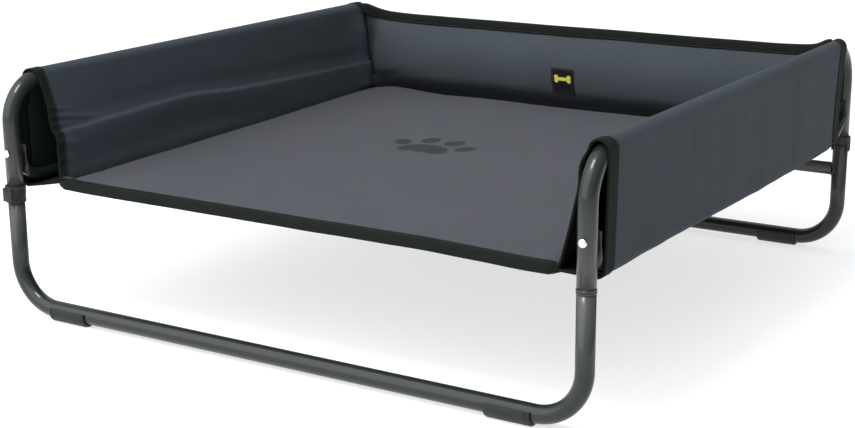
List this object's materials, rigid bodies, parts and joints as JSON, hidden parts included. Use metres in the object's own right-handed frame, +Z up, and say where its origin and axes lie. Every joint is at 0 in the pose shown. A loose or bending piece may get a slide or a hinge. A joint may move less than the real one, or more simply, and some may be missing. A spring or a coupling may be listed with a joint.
{
  "type": "raised dog bed",
  "caption": "Raised dog bed with a folding tube frame, a padded cloth sling, padded side sleeves over the top rails and a padded rear wall.",
  "frame": {"origin": "centre of the footprint, on the floor under the feet", "axes": "+X to the bed's right side, +Y to the rear wall, +Z up"},
  "size_m": [0.8676, 0.878, 0.3275],
  "materials": {
    "frame_paint": "satin anthracite powder coat",
    "rivet_steel": "bright plated steel",
    "black_plastic": "fine moulded grain",
    "sleeve_cloth": "woven polyester, dark slate",
    "bed_cloth": "woven polyester, grey with a violet cast",
    "foam": "soft polyester wadding",
    "tape_cloth": "black woven binding tape",
    "patch_cloth": "small black woven patch"
  },
  "bodies": {
    "bed_body": {"right_side_frame": "frame_paint", "right_lower_rail": "frame_paint", "right_side_sleeve": "sleeve_cloth", "right_sleeve_front_tape": "tape_cloth", "right_sleeve_rear_tape": "tape_cloth", "front_right_rivet": "rivet_steel", "rear_right_rivet": "rivet_steel", "left_side_frame": "frame_paint", "left_lower_rail": "frame_paint", "left_side_sleeve": "sleeve_cloth", "left_sleeve_front_tape": "tape_cloth", "left_sleeve_rear_tape": "tape_cloth", "front_left_rivet": "rivet_steel", "rear_left_rivet": "rivet_steel", "front_right_swivel_pin": "frame_paint", "rear_left_swivel_pin": "frame_paint", "front_left_snap_clip": "black_plastic", "rear_right_snap_clip": "black_plastic", "front_left_clip_pin": "black_plastic", "rear_right_clip_pin": "black_plastic", "sling_base_cloth": "bed_cloth", "sling_pad": "bed_cloth", "sling_front_tape": "tape_cloth", "rear_wall_cover": "sleeve_cloth", "rear_wall_foam": "foam", "rear_wall_top_tape": "tape_cloth", "rear_wall_patch": "patch_cloth"},
    "front_swing_base": {"front_base": "frame_paint", "front_left_foot": "black_plastic", "front_right_foot": "black_plastic"},
    "rear_swing_base": {"rear_base": "frame_paint", "rear_cross_bar": "frame_paint", "rear_left_foot": "black_plastic", "rear_right_foot": "black_plastic"}
  },
  "joints": [
    {"name": "front_base_swing", "type": "hinge", "parent": "bed_body", "child": "front_swing_base", "pos_m": [0.42, -0.423, 0.166], "axis": [0, 0, -1], "range_deg": [0, 75]},
    {"name": "rear_base_swing", "type": "hinge", "parent": "bed_body", "child": "rear_swing_base", "pos_m": [-0.42, 0.423, 0.166], "axis": [0, 0, -1], "range_deg": [0, 75]}
  ]
}
